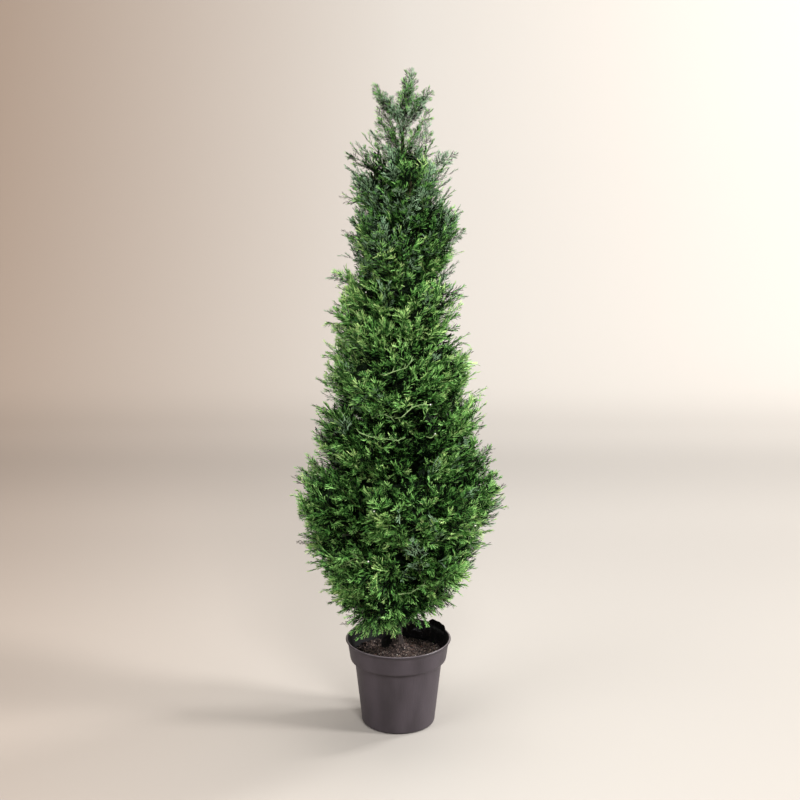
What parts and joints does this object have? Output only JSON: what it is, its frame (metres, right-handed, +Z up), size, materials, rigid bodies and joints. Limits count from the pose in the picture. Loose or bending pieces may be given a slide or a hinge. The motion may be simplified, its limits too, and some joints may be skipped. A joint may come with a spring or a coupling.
{
  "type": "potted artificial cedar topiary",
  "caption": "Artificial cedar spire: a slim, flame-shaped crown of tiered foliage masses on one thin trunk, standing in a plain dark round nursery pot filled with soil.",
  "frame": {"origin": "centre of the pot's flat underside, which is what the plant stands on", "axes": "+Z up along the trunk, -Y towards the front, +X to the right seen from the front"},
  "size_m": [0.3951, 0.4089, 1.22],
  "materials": {
    "pot_plastic": "satin dark grey plastic with faint mottling",
    "soil": "matt crumbly dark soil over a weighted filling",
    "liner_film": "glossy black film",
    "trunk_bark": "matt grey-brown bark",
    "bough_stem": "matt olive plastic stem",
    "foliage": "soft satin green sprays"
  },
  "bodies": {
    "root": {"bough_tier1_a": "bough_stem", "bough_tier1_b": "bough_stem", "bough_tier1_c": "bough_stem", "bough_tier1_d": "bough_stem", "bough_tier2_a": "bough_stem", "bough_tier2_b": "bough_stem", "bough_tier2_c": "bough_stem", "bough_tier2_d": "bough_stem", "bough_tier3_a": "bough_stem", "bough_tier3_b": "bough_stem", "bough_tier3_c": "bough_stem", "bough_tier3_d": "bough_stem", "bough_tier4_a": "bough_stem", "bough_tier4_b": "bough_stem", "bough_tier4_c": "bough_stem", "bough_tier5_a": "bough_stem", "bough_tier5_b": "bough_stem", "bough_tier5_c": "bough_stem", "bough_tier6_a": "bough_stem", "bough_tier6_b": "bough_stem", "bough_tier6_c": "bough_stem", "bough_tier7_a": "bough_stem", "bough_tier7_b": "bough_stem", "bough_tier7_c": "bough_stem", "bough_tier8_a": "bough_stem", "bough_tier8_b": "bough_stem", "bough_tier8_c": "bough_stem", "foliage_leader": "foliage", "foliage_tier1_a": "foliage", "foliage_tier1_b": "foliage", "foliage_tier1_c": "foliage", "foliage_tier1_d": "foliage", "foliage_tier2_a": "foliage", "foliage_tier2_b": "foliage", "foliage_tier2_c": "foliage", "foliage_tier2_d": "foliage", "foliage_tier3_a": "foliage", "foliage_tier3_b": "foliage", "foliage_tier3_c": "foliage", "foliage_tier3_d": "foliage", "foliage_tier4_a": "foliage", "foliage_tier4_b": "foliage", "foliage_tier4_c": "foliage", "foliage_tier5_a": "foliage", "foliage_tier5_b": "foliage", "foliage_tier5_c": "foliage", "foliage_tier6_a": "foliage", "foliage_tier6_b": "foliage", "foliage_tier6_c": "foliage", "foliage_tier7_a": "foliage", "foliage_tier7_b": "foliage", "foliage_tier7_c": "foliage", "foliage_tier8_a": "foliage", "foliage_tier8_b": "foliage", "foliage_tier8_c": "foliage", "liner_film": "liner_film", "pot": "pot_plastic", "soil": "soil", "trunk": "trunk_bark"}
  },
  "joints": []
}
